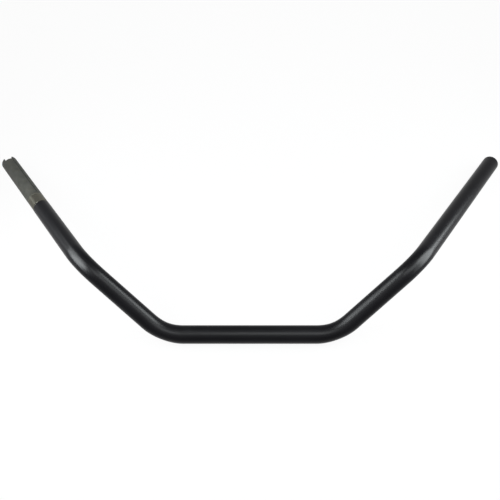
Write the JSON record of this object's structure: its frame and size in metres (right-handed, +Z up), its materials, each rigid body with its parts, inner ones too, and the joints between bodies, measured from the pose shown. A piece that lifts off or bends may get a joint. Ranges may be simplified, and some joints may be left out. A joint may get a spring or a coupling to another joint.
{
  "type": "motorcycle handlebar",
  "caption": "Pulled-back tubular steel handlebar, coated black, with a bare, notched and slotted throttle end for an electronic throttle.",
  "frame": {"origin": "middle of the straight clamp section, on its axis", "axes": "+X along the clamp section to the clutch side (the rider's left), +Y back to the rider, +Z up, with the bar at the angle it takes when laid on a flat table"},
  "size_m": [0.8282, 0.3657, 0.1023],
  "materials": {
    "black_coat": "satin black powder coat",
    "bare_steel": "turned, uncoated, lightly oiled"
  },
  "bodies": {
    "root": {"bar_tube": "black_coat", "throttle_end": "bare_steel"}
  },
  "joints": []
}
